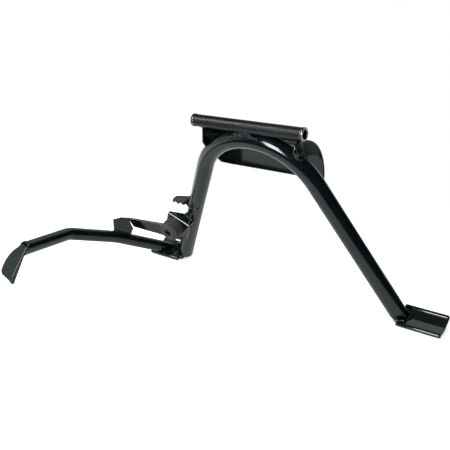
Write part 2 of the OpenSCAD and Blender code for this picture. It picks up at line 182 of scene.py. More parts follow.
world = bpy.data.worlds.new("sweep")
bpy.context.scene.world = world
world.use_nodes = True
tree = world.node_tree
tree.nodes.clear()
place = add(tree, "ShaderNodeTexCoord")
axes = add(tree, "ShaderNodeSeparateXYZ", [("Vector", place.outputs["Generated"])])
behind = add(tree, "ShaderNodeMath", [(0, axes.outputs["Y"]), (1, -1.0)], operation="MULTIPLY")
turn = add(
    tree,
    "ShaderNodeMath",
    [(0, axes.outputs["X"]), (1, behind.outputs["Value"])],
    operation="ARCTAN2",
)
total = ROOM_DARK
for left, right, turn_soft, low, high, height_soft, power in PATCHES.values():
    patch = add(
        tree,
        "ShaderNodeMath",
        [
            (0, between(tree, turn.outputs["Value"], left, right, turn_soft)),
            (1, between(tree, axes.outputs["Z"], low, high, height_soft)),
        ],
        operation="MULTIPLY",
    )
    total = add(
        tree,
        "ShaderNodeMath",
        [(0, patch.outputs["Value"]), (1, power), (2, total)],
        operation="MULTIPLY_ADD",
    ).outputs["Value"]
seen = add(tree, "ShaderNodeLightPath")
bare = add(
    tree,
    "ShaderNodeMath",
    [(0, seen.outputs["Is Camera Ray"]), (1, seen.outputs["Is Transmission Ray"])],
    operation="MAXIMUM",
)
white = add(tree, "ShaderNodeBackground", Color=PLAIN_WHITE, Strength=1.0)
mirrored = add(tree, "ShaderNodeBackground", [("Strength", total)], Color=linear("#E4F0EE"))
fill = add(tree, "ShaderNodeBackground", Color=linear("#F2F5F8"), Strength=FILL_POWER)
soft = add(
    tree,
    "ShaderNodeMixShader",
    [
        (0, seen.outputs["Is Glossy Ray"]),
        (1, fill.outputs["Background"]),
        (2, mirrored.outputs["Background"]),
    ],
)
shown = add(
    tree,
    "ShaderNodeMixShader",
    [(0, bare.outputs["Value"]), (1, soft.outputs["Shader"]), (2, white.outputs["Background"])],
)
add(tree, "ShaderNodeOutputWorld", [("Surface", shown.outputs["Shader"])])
print("patches in the room:", len(PATCHES))

# %% [markdown]
# ## The lamps
# The crisp white streaks on the tubes are pictures of real soft boxes, so these are lamps
# and not patches of the world: they light the floor and the rubber too. One tall box stands
# at the rear, on the camera's side, and one narrow strip on the left. A third box hangs
# overhead for the soft shadow under the feet. It is hidden from gloss, because it would turn
# every upward face grey.

# %% Place the lamps
def soft_box(name, place, aim, size, watts):
    """Adds a rectangular lamp that points from its place to its aim."""
    lamp = bpy.data.lights.new(name, "AREA")
    lamp.shape = "RECTANGLE"
    lamp.size, lamp.size_y = size
    lamp.energy = watts
    box = bpy.data.objects.new(name, lamp)
    box.location = place
    box.rotation_euler = (Vector(place) - Vector(aim)).to_track_quat("Z", "Y").to_euler()
    bpy.context.scene.collection.objects.link(box)
    return box


MIDDLE = (-0.03, 0.0, -0.14)
soft_box("rear_box", (-0.03, -1.85, 0.62), MIDDLE, (0.66, 1.1), 50)
soft_box("left_strip", (-1.13, -1.06, 1.15), MIDDLE, (0.16, 0.9), 16)
overhead = soft_box("overhead_box", (0.2, 0.3, 1.8), MIDDLE, (0.8, 0.8), 10)
overhead.visible_glossy = False
print("lamps:", len(bpy.data.lights))

# %% [markdown]
# ## The floor
# The stand hangs from its pivot, and its feet come almost down to a pale floor. The floor
# is one very large disc, so that its rim lies far outside the picture. A plane would do as
# well, but a disc has the same rim in every direction. It lies a little under the feet.

# %% Lay the floor
FLOOR_GAP = 4 * MM
FLOOR_RADIUS = 60

bpy.ops.object.select_all(action="DESELECT")
bpy.ops.mesh.primitive_circle_add(
    vertices=96, radius=FLOOR_RADIUS, fill_type="NGON", location=(0, 0, cad_low.z - FLOOR_GAP)
)
floor = bpy.context.object
floor.name = "floor"
bpy.ops.object.transform_apply(location=True)
print("floor height in mm:", round(floor.data.vertices[0].co.z / MM, 1))

# %% [markdown]
# ## The paper on the floor
# Near the stand the floor is matt white paper that takes the soft shadow, with a little
# light of its own so that it reads as white. Further out it turns into plain white, so that
# no horizon shows. What the paint mirrors of it is less: the lit table near the stand and
# the sweep on its left and in front, and darkness beyond, as in a room where only the table
# is lit. So the shader gives the camera, the gloss and the matt light each their own floor.

# %% Make the paper
PAPER_LIFT = 0.64
# Where the plain white, the lit table and the sweep begin or end, and how softly
WHITE_FROM, WHITE_SOFT = 0.55, 0.2
TABLE_RADIUS, TABLE_SOFT = 0.42, 0.08
SWEEP_FROM, SWEEP_SOFT = 0.22, 0.12
SWEEP_AIM_X, SWEEP_AIM_Y = -0.7, 0.55
TABLE_SEEN, SWEEP_SEEN, UNLIT = 0.58, 0.95, 0.02
FAR_OFF = 200.0

paper = bpy.data.materials.new("sweep_paper")
paper.use_nodes = True
tree = paper.node_tree
tree.nodes.clear()
seen = add(tree, "ShaderNodeLightPath")
where = add(tree, "ShaderNodeTexCoord").outputs["Object"]
axes = add(tree, "ShaderNodeSeparateXYZ", [("Vector", where)])
flat_place = add(
    tree, "ShaderNodeCombineXYZ", [("X", axes.outputs["X"]), ("Y", axes.outputs["Y"])]
)
away = add(
    tree, "ShaderNodeVectorMath", [(0, flat_place.outputs["Vector"])], operation="LENGTH"
).outputs["Value"]
matt = add(tree, "ShaderNodeBsdfDiffuse", Color=linear("#F4F4F4"))
lift = add(tree, "ShaderNodeEmission", Color=PLAIN_WHITE, Strength=PAPER_LIFT)
lit = add(
    tree, "ShaderNodeAddShader", [(0, matt.outputs["BSDF"]), (1, lift.outputs["Emission"])]
)
white = add(tree, "ShaderNodeEmission", Color=PLAIN_WHITE, Strength=1.0)
far = between(tree, away, WHITE_FROM, FAR_OFF, WHITE_SOFT)
seen_bare = add(
    tree,
    "ShaderNodeMixShader",
    [(0, far), (1, lit.outputs["Shader"]), (2, white.outputs["Emission"])],
)
leftward = add(
    tree, "ShaderNodeMath", [(0, axes.outputs["X"]), (1, SWEEP_AIM_X)], operation="MULTIPLY"
)
toward_sweep = add(
    tree,
    "ShaderNodeMath",
    [(0, axes.outputs["Y"]), (1, SWEEP_AIM_Y), (2, leftward.outputs["Value"])],
    operation="MULTIPLY_ADD",
).outputs["Value"]
table = add(
    tree,
    "ShaderNodeMath",
    [(0, between(tree, away, -1.0, TABLE_RADIUS, TABLE_SOFT)), (1, TABLE_SEEN)],
    operation="MULTIPLY",
)
sweep = add(
    tree,
    "ShaderNodeMath",
    [(0, between(tree, toward_sweep, SWEEP_FROM, FAR_OFF, SWEEP_SOFT)), (1, SWEEP_SEEN)],
    operation="MULTIPLY",
)
brighter = add(
    tree,
    "ShaderNodeMath",
    [(0, table.outputs["Value"]), (1, sweep.outputs["Value"])],
    operation="MAXIMUM",
)
dark = add(tree, "ShaderNodeEmission", Color=PLAIN_WHITE, Strength=UNLIT)
mirrored = add(
    tree,
    "ShaderNodeMixShader",
    [
        (0, brighter.outputs["Value"]),
        (1, dark.outputs["Emission"]),
        (2, lit.outputs["Shader"]),
    ],
)
by_gloss = add(
    tree,
    "ShaderNodeMixShader",
    [
        (0, seen.outputs["Is Glossy Ray"]),
        (1, matt.outputs["BSDF"]),
        (2, mirrored.outputs["Shader"]),
    ],
)
look = add(
    tree,
    "ShaderNodeMixShader",
    [
        (0, seen.outputs["Is Camera Ray"]),
        (1, by_gloss.outputs["Shader"]),
        (2, seen_bare.outputs["Shader"]),
    ],
)
add(tree, "ShaderNodeOutputMaterial", [("Surface", look.outputs["Shader"])])
floor.data.materials.append(paper)
print("paper nodes:", len(tree.nodes))

# %% [markdown]
# ## The paint
# The stand is powder coated: black polyester powder, baked to a thick gloss that follows
# the steel under it. The coat has a faint orange peel, waves one to two millimetres long,
# which break a reflection up a little. It is the coat's own gloss that makes the look, so
# the base is nearly black and the roughness is low. The pivot tube was coated thinner and
# handled more, so it is duller and a little warmer.

# %% Make the powder coats
# Dust and handling show as clouds, 28 of them to a metre
DUST_MM = 1000 / 28


def powder_coat(name, colour, roughness, peel_mm, peel_depth, tint, ior=1.55):
    """A baked powder coat: dark base, smooth gloss, orange peel and faint dust."""
    coat = bpy.data.materials.new(name)
    coat.use_nodes = True
    tree = coat.node_tree
    tree.nodes.clear()
    where = add(tree, "ShaderNodeTexCoord").outputs["Object"]
    peel = add(
        tree, "ShaderNodeTexNoise", [("Vector", where)], Scale=1 / (peel_mm * MM), Detail=2.0
    )
    cloud = add(
        tree, "ShaderNodeTexNoise", [("Vector", where)], Scale=1 / (DUST_MM * MM), Detail=3.0
    )
    shade = add(
        tree,
        "ShaderNodeValToRGB",
        [("Fac", cloud.outputs["Fac"])],
        [(0.35, linear(colour)), (0.7, linear(tint))],
    )
    dull = add(
        tree,
        "ShaderNodeMapRange",
        [
            ("Value", cloud.outputs["Fac"]),
            ("To Min", roughness * 0.85),
            ("To Max", roughness * 1.3),
        ],
    )
    wave = add(
        tree,
        "ShaderNodeBump",
        [("Height", peel.outputs["Fac"])],
        Strength=0.25,
        Distance=peel_depth * MM,
    )
    paint = add(
        tree,
        "ShaderNodeBsdfPrincipled",
        [
            ("Base Color", shade.outputs["Color"]),
            ("Roughness", dull.outputs["Result"]),
            ("Normal", wave.outputs["Normal"]),
            ("Specular Tint", linear("#E9F5F3")),
        ],
        IOR=ior,
    )
    add(tree, "ShaderNodeOutputMaterial", [("Surface", paint.outputs["BSDF"])])
    return coat


gloss_black = powder_coat("powder_coat_gloss_black", "#05080A", 0.11, 1.6, 0.05, "#0A1012")
dull_black = powder_coat("powder_coat_dull_black", "#0B0C0D", 0.34, 1.2, 0.02, "#131415", 1.42)
print("coats:", gloss_black.name, dull_black.name)

# %% [markdown]
# ## The rubber
# The stop is moulded natural rubber: a dark grey with a dry bloom, so it is rough and
# slightly mottled. Blooming shows as soft clouds about six millimetres wide, and the mould
# leaves fine pits of half a millimetre, which take the last of the shine. Clouds and pits
# could be painted on a map, but noise at their real size has no seam and never repeats.

# %% Make the rubber
def moulded_rubber():
    """Natural rubber out of a mould: clouded by bloom and finely pitted."""
    rubber = bpy.data.materials.new("natural_rubber_moulded")
    rubber.use_nodes = True
    tree = rubber.node_tree
    tree.nodes.clear()
    where = add(tree, "ShaderNodeTexCoord").outputs["Object"]
    bloom = add(tree, "ShaderNodeTexNoise", [("Vector", where)], Scale=1 / (6.25 * MM), Detail=4.0)
    grain = add(tree, "ShaderNodeTexNoise", [("Vector", where)], Scale=1 / (0.625 * MM), Detail=2.0)
    shade = add(
        tree,
        "ShaderNodeValToRGB",
        [("Fac", bloom.outputs["Fac"])],
        [(0.3, linear("#232322")), (0.7, linear("#373635"))],
    )
    pits = add(
        tree,
        "ShaderNodeBump",
        [("Height", grain.outputs["Fac"])],
        Strength=0.4,
        Distance=0.15 * MM,
    )
    body = add(
        tree,
        "ShaderNodeBsdfPrincipled",
        [("Base Color", shade.outputs["Color"]), ("Normal", pits.outputs["Normal"])],
        Roughness=0.75,
        IOR=1.5,
    )
    add(tree, "ShaderNodeOutputMaterial", [("Surface", body.outputs["BSDF"])])
    return rubber


rubber = moulded_rubber()
print("rubber:", rubber.name)

# %% [markdown]
# ## The bare steel
# The collars are turned mild steel. Their lathe lines run round the pivot axis a quarter of
# a millimetre apart. They are finer than the picture shows, so they are drawn as rings that
# change colour and gloss a little, and their mean is what the eye gets: a soft bright grey.
# The socket screw is black oxide steel, still metallic, and its colour is set darker than the
# oxide alone, as painted shade in the rubber's counterbore where its head sits.

# %% Make the steels
LATHE_LINE_MM = 0.25


def machined_steel(name, colour, tint, roughness):
    """Steel with lathe lines as rings round the pivot axis, in colour and in gloss."""
    steel = bpy.data.materials.new(name)
    steel.use_nodes = True
    tree = steel.node_tree
    tree.nodes.clear()
    where = add(tree, "ShaderNodeTexCoord").outputs["Object"]
    # At scale 1 the rings of this texture lie pi / 10 apart
    lines = add(
        tree,
        "ShaderNodeTexWave",
        [("Vector", where)],
        wave_type="RINGS",
        rings_direction="X",
        Scale=math.pi / (10 * LATHE_LINE_MM * MM),
        Distortion=1.5,
    )
    shade = add(
        tree,
        "ShaderNodeValToRGB",
        [("Fac", lines.outputs["Fac"])],
        [(0.3, linear(colour)), (0.7, linear(tint))],
    )
    gloss = add(
        tree,
        "ShaderNodeMapRange",
        [
            ("Value", lines.outputs["Fac"]),
            ("To Min", roughness * 0.8),
            ("To Max", roughness * 1.25),
        ],
    )
    body = add(
        tree,
        "ShaderNodeBsdfPrincipled",
        [("Base Color", shade.outputs["Color"]), ("Roughness", gloss.outputs["Result"])],
        Metallic=1.0,
    )
    add(tree, "ShaderNodeOutputMaterial", [("Surface", body.outputs["BSDF"])])
    return steel


turned_steel = machined_steel("mild_steel_turned", "#CFCDC8", "#E9E7E2", 0.34)
# The screw's steel is set darker than black oxide alone: painted shade of the stop's counterbore
oxide_and_socket_shade = machined_steel("steel_black_oxide_socket_shade", "#131415", "#1E1F20", 0.32)
print("steels:", turned_steel.name, oxide_and_socket_shade.name)

# %% [markdown]
# ## The finishes of the solids
# Every CAD solid has a slot in the record that says what its surface is. The solids keep
# their shape and take the material of their slot here, and so does each piece that replaces
# one later. A table from slot to material keeps that choice in one place.

# %% Give the CAD solids their finishes
FINISHES = {
    "frame_paint": gloss_black,
    "pivot_paint": dull_black,
    "bare_steel": turned_steel,
    "bolt_steel": oxide_and_socket_shade,
    "bumper_rubber": rubber,
}
slot_of = {s["node"]: s["material_slot"] for s in frame["record"]["subparts"]}


def finish_solid(piece, slot):
    """Puts the material of a slot on a piece, in place of any other."""
    piece.data.materials.clear()
    piece.data.materials.append(FINISHES[slot])


for name, solid in frame["nodes"].items():
    finish_solid(solid, slot_of[name])
print("solids finished:", len(frame["nodes"]))

# %% [markdown]
# ## Where the tubes run
# Weld beads lie where tubes and plates meet, so the lesson needs the stand's own lines:
# the plane of the legs, the line of each leg and the fold of the foot plates. They repeat
# the driving sizes of the CAD model, in millimetres, and two functions turn a place that is
# told along a leg into a place in the frame.

# %% Write down the lines of the legs
SPLAY, LEAN = math.radians(26.8), math.radians(21.4)
CROWN = Vector((0, 9.882, -18.586))
CROWN_R, LEG_R = 99.5, 12.5
ARC_X = CROWN_R * math.cos(SPLAY)
ARC_DROP = CROWN_R * (1 - math.sin(SPLAY))
LEG_DROP = 259.5
FOOT_TILT, FOOT_SLOPE = math.radians(17), math.radians(11)
LEFT, RIGHT = -1, 1
ACROSS, UP = Vector((1, 0, 0)), Vector((0, 0, 1))


def leg_plane(across, back, down):
    """Point in the legs' plane: across it, rearward of it and down it from the crown."""
    return CROWN + Vector(
        (
            across,
            down * math.sin(LEAN) - back * math.cos(LEAN),
            -down * math.cos(LEAN) - back * math.sin(LEAN),
        )
    )


def by_leg(side, out, back, down):
    """Point beside a leg: outward, rearward and down from the end of the crown bend."""
    across = ARC_X + out * math.cos(SPLAY) + down * math.sin(SPLAY)
    drop = ARC_DROP + down * math.cos(SPLAY) - out * math.sin(SPLAY)
    return leg_plane(side * across, back, drop)


FOOT = leg_plane(ARC_X + (LEG_DROP - ARC_DROP) * math.tan(SPLAY), 0, LEG_DROP)
print("foot of the right leg in mm:", [round(c, 1) for c in FOOT])

# %% [markdown]
# ## Where the lever runs
# The foot lever leaves the left foot plate and runs rearward in three straight runs: a rise,
# a longer reach and a level end that carries the pad. Each run is a heading and a length, so
# the corners follow from the foot, and the pad's own directions from its tilt.

# %% Write down the lines of the lever and the pad
LEVER_R = 10.0
LEVER_OUT, LEVER_BACK, LEVER_SEAT = 43, 12.4, 9.1
RISE_LEN, REACH_LEN, END_LEN = 89, 82, 96


def heading(outward, climb):
    """Unit vector of a run that goes rearward, outward and up by angles in degrees."""
    a, c = math.radians(outward), math.radians(climb)
    return Vector((-math.sin(a) * math.cos(c), -math.cos(a) * math.cos(c), math.sin(c)))


RISE, REACH, END = heading(24, 22.5), heading(24, 15), heading(-5.4, 4.2)
plate_fall = LEVER_BACK * math.tan(FOOT_TILT - FOOT_SLOPE)
lever_foot = Vector(
    (-FOOT.x - LEVER_OUT, FOOT.y - LEVER_BACK, FOOT.z - plate_fall + LEVER_SEAT)
)
lever_bend = lever_foot + RISE_LEN * RISE
lever_elbow = lever_bend + REACH_LEN * REACH
lever_end = lever_elbow + END_LEN * END
PAD_TILT = math.radians(90 - 34.8)
PAD_UP = Vector((0, math.cos(PAD_TILT), math.sin(PAD_TILT)))
PAD_OUT = Vector((0, -math.sin(PAD_TILT), math.cos(PAD_TILT)))
print("lever end in mm:", [round(c, 1) for c in lever_end])

# %% [markdown]
# ## Handling a piece
# An operator acts on all that is selected, so a piece is selected alone before it is worked
# on. A modifier is added, set and applied in one go, which leaves a plain mesh behind, and
# a finished piece gets the material of its slot and the body that it rides on.

# %% Write the helpers for a piece
def alone(piece):
    """Leaves edit mode and selects one piece, and nothing else."""
    if bpy.context.mode != "OBJECT":
        bpy.ops.object.mode_set(mode="OBJECT")
    bpy.ops.object.select_all(action="DESELECT")
    piece.select_set(True)
    bpy.context.view_layer.objects.active = piece


def put(name, data):
    """Makes an object of a mesh, at the origin, and selects it alone."""
    piece = bpy.data.objects.new(name, data)
    bpy.context.scene.collection.objects.link(piece)
    alone(piece)
    return piece


def modify(piece, kind, **settings):
    """Adds one modifier, sets it and applies it."""
    step = piece.modifiers.new(kind.lower(), kind)
    for key, value in settings.items():
        setattr(step, key, value)
    bpy.ops.object.modifier_apply(modifier=step.name)


def clad(piece, slot):
    """Gives a finished piece the paint of its slot and its ride."""
    finish_solid(piece, slot)
    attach(piece, "root")


print("helpers:", alone.__name__, put.__name__, modify.__name__, clad.__name__)

# %% [markdown]
# ## The rounded fold of the bracket
# The stop's bracket is one strip, folded in a press. A press brake leaves an inner radius
# about as large as the sheet is thick, and the outer one is larger, which makes the long
# white gleam along the fold. The CAD plate has a sharp fold there, so that one edge is found
# by its place and beveled in ten steps.

# %% Write the fold
BRACKET_BACK, BRACKET_DOWN = 25.5, 118
FOLD_R = 4.2
FOLD_EDGE = [by_leg(LEFT, out, BRACKET_BACK, BRACKET_DOWN) for out in (-8, 34)]


def round_fold(plate, ends, radius_mm):
    """Rounds the one edge of a plate that runs between two places."""
    alone(plate)
    bpy.ops.object.mode_set(mode="EDIT")
    bpy.ops.mesh.select_all(action="DESELECT")
    shape = bmesh.from_edit_mesh(plate.data)
    aim = (ends[1] - ends[0]).normalized()
    for edge in shape.edges:
        run = edge.verts[1].co - edge.verts[0].co
        middle = (edge.verts[0].co + edge.verts[1].co) / 2 - ends[0] * MM
        off_line = (middle - middle.dot(aim) * aim).length
        along = run.length > 2 * MM and abs(run.normalized().dot(aim)) > 0.999
        if along and off_line < 0.3 * MM:
            edge.select_set(True)
    shape.select_flush_mode()
    bmesh.update_edit_mesh(plate.data)
    bpy.ops.mesh.bevel(offset=radius_mm * MM, segments=10, affect="EDGES")
    bpy.ops.object.mode_set(mode="OBJECT")


print("fold from and to in mm:", [[round(c) for c in end] for end in FOLD_EDGE])

# %% [markdown]
# ## The top of the pad
# The pad closes the open end of the lever and stands a little proud of it, so that a weld
# can run round. Its top is cut in two places by a bisect, and the corners between the cuts
# are moved up the pad, which gives it a low hump over the tube. Its inner edge is let out
# evenly from the lower end to the top, as the real pad widens toward the lever. A new
# outline could be drawn and given its thickness, but the CAD pad already has its fold.

# %% Write the pad's top
OUTER_CUT, INNER_CUT = -7.0, 1.0
TOP_OUTER, TOP_MIDDLE, TOP_INNER = 1.5, 4.6, 2.0
TOP_FROM = 3
INNER_SPREAD, PAD_BELOW, PAD_ABOVE = 4.8, 45, 4


def cover_tube_end(plate):
    """Widens the top of the pad, so that it closes the lever's open end."""
    alone(plate)
    bpy.ops.object.mode_set(mode="EDIT")
    for inward in (OUTER_CUT, INNER_CUT):
        bpy.ops.mesh.select_all(action="SELECT")
        bpy.ops.mesh.bisect(plane_co=(lever_end + inward * ACROSS) * MM, plane_no=ACROSS)
    shape = bmesh.from_edit_mesh(plate.data)
    for corner in shape.verts:
        place = corner.co / MM - lever_end
        inward, up_mm = place.x, place.dot(PAD_UP)
        shift = Vector((0, 0, 0))
        on_inner_edge = inward > INNER_CUT + 2
        if on_inner_edge:
            share = (up_mm + PAD_BELOW) / (PAD_BELOW + PAD_ABOVE)
            shift += INNER_SPREAD * min(1, max(0, share)) * ACROSS
        if up_mm > TOP_FROM and inward > OUTER_CUT - 0.5:
            between_cuts = TOP_MIDDLE if inward > OUTER_CUT + 1 else TOP_OUTER
            shift += (TOP_INNER if on_inner_edge else between_cuts) * PAD_UP
        corner.co += shift * MM
    bmesh.update_edit_mesh(plate.data)
    bpy.ops.object.mode_set(mode="OBJECT")


print("pad cuts in mm:", OUTER_CUT, INNER_CUT)

# %% [markdown]
# ## Softened sheet edges
# Every plate of the stand was sheared or punched from sheet three to four millimetres
# thick. Shearing rolls one edge over and the coat rounds the rest, so no edge is sharp,
# and each one shows as a thin bright line. The CAD plates have hard edges. Each one is
# copied, its loose triangles are merged and joined into flat faces, and a narrow bevel
# goes on every edge that turns by more than 34 degrees. Weighted normals keep the flats
# flat, so the bevel alone takes the gleam. The nut and the screw get the same, narrower.

# %% Copy the plates and round their edges
SHEET_EDGES = {
    "cross_plate": 0.9,
    "left_cheek": 0.7,
    "right_cheek": 0.7,
    "left_foot": 1.1,
    "right_foot": 1.1,
    "lever_pad": 1.6,
    "lever_brace": 0.8,
    "bumper_bracket": 0.7,
    "spring_anchor": 0.8,
    "bumper_nut": 0.5,
    "bumper_bolt": 0.4,
}


def softened(node, width_mm):
    """Copies a CAD plate and bevels its sharp edges."""
    plate = put(node + "_plate", frame["nodes"][node].data.copy())
    bpy.ops.object.mode_set(mode="EDIT")
    bpy.ops.mesh.select_all(action="SELECT")
    bpy.ops.mesh.remove_doubles(threshold=0.01 * MM)
    bpy.ops.mesh.customdata_custom_splitnormals_clear()
    bpy.ops.mesh.dissolve_limited(angle_limit=math.radians(0.5))
    bpy.ops.object.mode_set(mode="OBJECT")
    if node == "bumper_bracket":
        round_fold(plate, FOLD_EDGE, FOLD_R)
    if node == "lever_pad":
        cover_tube_end(plate)
    modify(
        plate,
        "BEVEL",
        width=width_mm * MM,
        segments=5,
        limit_method="ANGLE",
        angle_limit=math.radians(34),
        use_clamp_overlap=False,
        miter_outer="MITER_ARC",
    )
    bpy.ops.object.shade_smooth_by_angle(angle=math.radians(20))
    modify(plate, "WEIGHTED_NORMAL", keep_sharp=True, weight=80)
    clad(plate, slot_of[node])
    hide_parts(node)
    return plate


for node, width in SHEET_EDGES.items():
    plate = softened(node, width)
    print(plate.name, "faces:", len(plate.data.polygons))

# %% [markdown]
# ## The rolled rims of the feet
# The long edges of each foot plate are rolled over, so that the plate doesn't dig into the
# ground. The roll stands a little proud of the plate, and in black gloss it shows as a
# white line between two black ones. A round bar laid on the edge has the same section:
# each bar is a cylinder whose ends are rounded in by a bevel, set along the plate's edge.

# %% Roll the rims
FOOT_LEN, FOOT_TUCK, FOOT_HALF = 66.5, 4.3, 20.5
ROLL_R, ROLL_FROM, ROLL_TO = 3.4, 5, FOOT_LEN - 0.6
ROLL_ASIDE = FOOT_HALF - 1.8
ROLL_LIFT = (FOOT_HALF - 1.6) * math.tan(FOOT_SLOPE) - 1.4


def on_plate(side, out, across_fold, lift):
    """Point on a foot plate: out from its inner end, across its fold and above it."""
    y = across_fold * math.cos(FOOT_TILT) - lift * math.sin(FOOT_TILT)
    z = across_fold * math.sin(FOOT_TILT) + lift * math.cos(FOOT_TILT)
    return Vector((side * (FOOT.x - FOOT_TUCK + out), FOOT.y + y, FOOT.z + z))


def rolled_bar(name, start, stop, radius):
    """A bar from one place to another, with softly rounded ends."""
    bpy.ops.object.select_all(action="DESELECT")
    run = stop - start
    bpy.ops.mesh.primitive_cylinder_add(
        vertices=32,
        radius=radius * MM,
        depth=run.length * MM,
        location=(start + stop) / 2 * MM,
        rotation=run.to_track_quat("Z", "Y").to_euler(),
    )
    bar = bpy.context.object
    bar.name = bar.data.name = name
    bpy.ops.object.transform_apply(location=True, rotation=True)
    modify(
        bar,
        "BEVEL",
        width=radius * 0.6 * MM,
        segments=4,
        limit_method="ANGLE",
        angle_limit=math.radians(60),
    )
    bpy.ops.object.shade_smooth_by_angle(angle=math.radians(40))
    return bar


for side, foot_name in ((LEFT, "left"), (RIGHT, "right")):
    for edge, edge_name in ((-1, "rear"), (1, "front")):
        rim = rolled_bar(
            f"{foot_name}_foot_{edge_name}_rim",
            on_plate(side, ROLL_FROM, edge * ROLL_ASIDE, ROLL_LIFT),
            on_plate(side, ROLL_TO, edge * ROLL_ASIDE, ROLL_LIFT),
            ROLL_R,
        )
        clad(rim, "frame_paint")
        print(rim.name, "faces:", len(rim.data.polygons))

# %% [markdown]
# ## Spinning a section
# A moulded or turned piece is a solid of revolution, so it is made as a lathe makes it: its
# half section is drawn as a chain of short extrusions and spun round its own line. A
# bevelled cylinder would be quicker, but it gives every edge the same round.

# %% Write the spin
def spun(name, section, origin, axis, outward, steps=72):
    """Draws a half section, as distances (along, out) in mm, and spins it round a line."""
    bpy.ops.object.select_all(action="DESELECT")
    bpy.ops.mesh.primitive_plane_add(size=1 * MM)
    piece = bpy.context.object
    piece.name = piece.data.name = name
    bpy.ops.object.mode_set(mode="EDIT")
    bpy.ops.mesh.select_all(action="SELECT")
    bpy.ops.mesh.merge(type="CENTER")
    shape = bmesh.from_edit_mesh(piece.data)
    spots = [origin + along * axis + out * outward for along, out in section]
    shape.verts.ensure_lookup_table()
    shape.verts[0].co = spots[0] * MM
    bmesh.update_edit_mesh(piece.data)
    for here, there in zip(spots, spots[1:]):
        bpy.ops.mesh.extrude_region_move(
            TRANSFORM_OT_translate={"value": (there - here) * MM}
        )
    bpy.ops.mesh.select_all(action="SELECT")
    bpy.ops.mesh.spin(steps=steps, angle=2 * math.pi, center=origin * MM, axis=axis)
    bpy.ops.mesh.select_all(action="SELECT")
    bpy.ops.mesh.remove_doubles(threshold=0.002 * MM)
    bpy.ops.mesh.normals_make_consistent(inside=False)
    bpy.ops.object.mode_set(mode="OBJECT")
    bpy.ops.object.transform_apply(location=True)
    alone(piece)
    bpy.ops.object.shade_smooth_by_angle(angle=math.radians(28))
    return piece


def arc(centre, radius, start, stop, count=6):
    """Points of a rounded corner in a section, by angle from the line of the spin."""
    return [
        (
            centre[0] + radius * math.cos(math.radians(start + (stop - start) * i / count)),
            centre[1] + radius * math.sin(math.radians(start + (stop - start) * i / count)),
        )
        for i in range(count + 1)
    ]


print("helpers:", spun.__name__, arc.__name__)

# %% [markdown]
# ## The rubber stop
# The stop is a moulded drum with a rounded rim, a raised ring on its face and a counterbore
# for the screw. Where the ring rises, the mould leaves a narrow groove, which reads as a
# dark line beside a light one. The section is told from the bracket outward, as distances
# along the screw and out from it.

# %% Spin the rubber stop
STOP_OUT, STOP_DOWN = 16.4, BRACKET_DOWN + 18
rearward = (by_leg(LEFT, 0, 1, 0) - by_leg(LEFT, 0, 0, 0)).normalized()
beside = (by_leg(LEFT, 1, 0, 0) - by_leg(LEFT, 0, 0, 0)).normalized()
stop_foot = by_leg(LEFT, STOP_OUT, BRACKET_BACK, STOP_DOWN)
drum = [
    (0.0, 4.3),
    *arc((0.8, 15.7), 0.8, 180, 90, 3),
    *arc((17.6, 14.3), 2.2, 90, 0, 7),
    (19.8, 13.8),
    (19.1, 13.3),
    (19.1, 12.5),
    *arc((20.2, 11.2), 0.8, 90, 0, 5),
    *arc((20.2, 7.5), 0.8, 0, -90, 4),
    (12.0, 6.7),
    (12.0, 4.3),
    (0.0, 4.3),
]
rubber_stop = spun("rubber_stop", drum, stop_foot, rearward, beside)
clad(rubber_stop, "bumper_rubber")
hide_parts("rubber_bumper")
print("rubber stop faces:", len(rubber_stop.data.polygons))

# %% [markdown]
# ## The end bushes
# Each bush is turned from bar: a sleeve pressed into the pivot tube and a thin collar that
# takes the side load. It was coated with the stand, then wear and the fitting of the axle
# rubbed its two rims and its end face back to steel. So the section gets rounded rims, and
# the faces are sorted by their place: rims and end are bare, and the collar's band is still
# painted. The bore behind the rims takes the dark coat too, as painted shade inside the hole.

# %% Spin the bushes and leave the rims bare
PIVOT_HALF, COLLAR_T, COLLAR_R, BORE_R, SLEEVE_R = 85.5, 3.8, 8.85, 6.05, 7.0
SLEEVE_LEN, COLLAR_RIM, BORE_RIM = 22, 1.0, 0.8
shoulder = PIVOT_HALF - COLLAR_T
bush = [
    (shoulder - SLEEVE_LEN, BORE_R),
    (shoulder - SLEEVE_LEN, SLEEVE_R),
    (shoulder, SLEEVE_R),
    (shoulder, 8.3),
    *arc((shoulder + 0.5, 8.35), 0.5, 180, 90, 4),
    *arc((PIVOT_HALF - COLLAR_RIM, COLLAR_R - COLLAR_RIM), COLLAR_RIM, 90, 0, 6),
    (PIVOT_HALF, 7.4),
    *arc((PIVOT_HALF - BORE_RIM, BORE_R + BORE_RIM), BORE_RIM, 0, -90, 5),
    (shoulder - SLEEVE_LEN, BORE_R),
]
for side, node in ((LEFT, "left_pivot_bush"), (RIGHT, "right_pivot_bush")):
    collar = spun(node + "_turned", bush, Vector((0, 0, 0)), side * ACROSS, UP)
    clad(collar, "bare_steel")
    collar.data.materials.append(dull_black)
    for face in collar.data.polygons:
        along = abs(face.center.x) / MM
        out = math.hypot(face.center.y, face.center.z) / MM
        band = shoulder + 0.7 < along < PIVOT_HALF - 1.1 and out > 8.0
        # The dark coat in the bore is painted shade inside the hole
        bore = along < shoulder - 0.1 and out < 6.5
        face.material_index = 1 if band or bore else 0
    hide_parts(node)
    print(collar.name, "faces:", len(collar.data.polygons))

# %% [markdown]
# ## The weld beads
# The stand is held together by hand-laid weld beads, coated over with the rest. A bead is
# a row of small frozen pools, each laid partly over the last, one to four millimetres apart.
# A swept tube would look like a cord of wax. So one pool is modelled once as a flattened
# ball, its copies are set along the seam with small changes of size, and a voxel remesh
# fuses them into one skin. A short smooth melts the steps as the metal did, and every
# ripple keeps its own small gleam.

